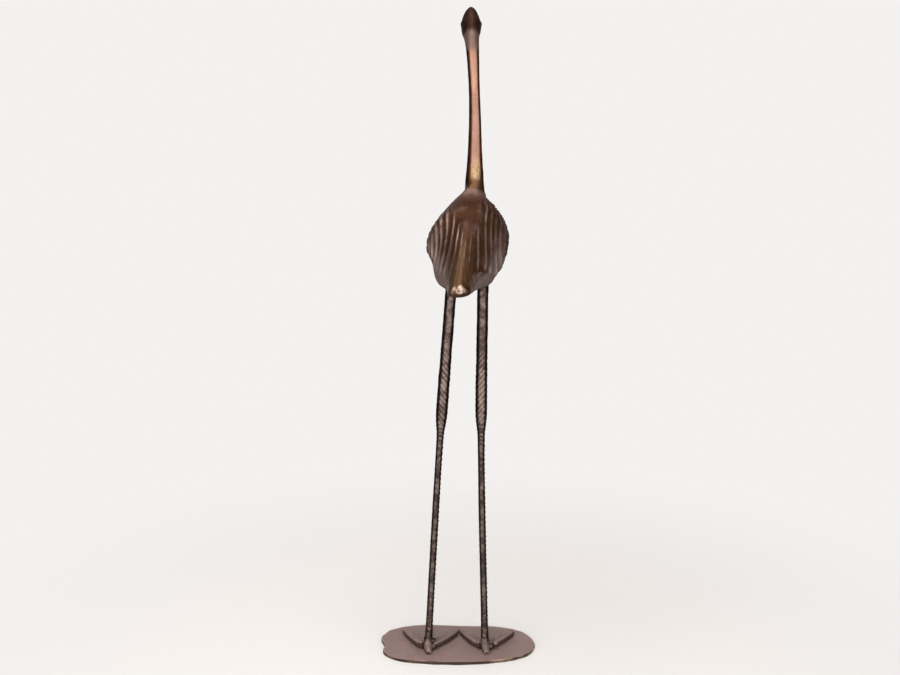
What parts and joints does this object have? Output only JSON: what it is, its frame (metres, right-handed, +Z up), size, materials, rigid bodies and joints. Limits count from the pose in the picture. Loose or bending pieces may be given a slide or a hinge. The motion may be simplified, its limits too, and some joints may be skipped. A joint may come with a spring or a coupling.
{
  "type": "metal flamingo sculpture",
  "caption": "Tall cast metal flamingo that stands upright on straight rod legs with webbed feet, on a thin irregular oval plate.",
  "frame": {"origin": "middle of the plate's underside, on the surface that the sculpture stands on", "axes": "+Z up through the bird, +Y the way the bird faces, +X to the right as seen from behind the bird"},
  "size_m": [0.2366, 0.244, 0.963],
  "materials": {
    "bird_bronze": "cast metal with a dark brown patina, rubbed bright on the feather crests, neck and tail tip",
    "leg_bronze": "dark cast metal, hammered and ridged, with brass showing on the high spots",
    "plate_bronze": "matt dull brown cast plate, worn bright along its edge"
  },
  "bodies": {
    "root": {"base_plate": "plate_bronze", "left_leg": "leg_bronze", "right_leg": "leg_bronze", "bird_body": "bird_bronze"}
  },
  "joints": []
}
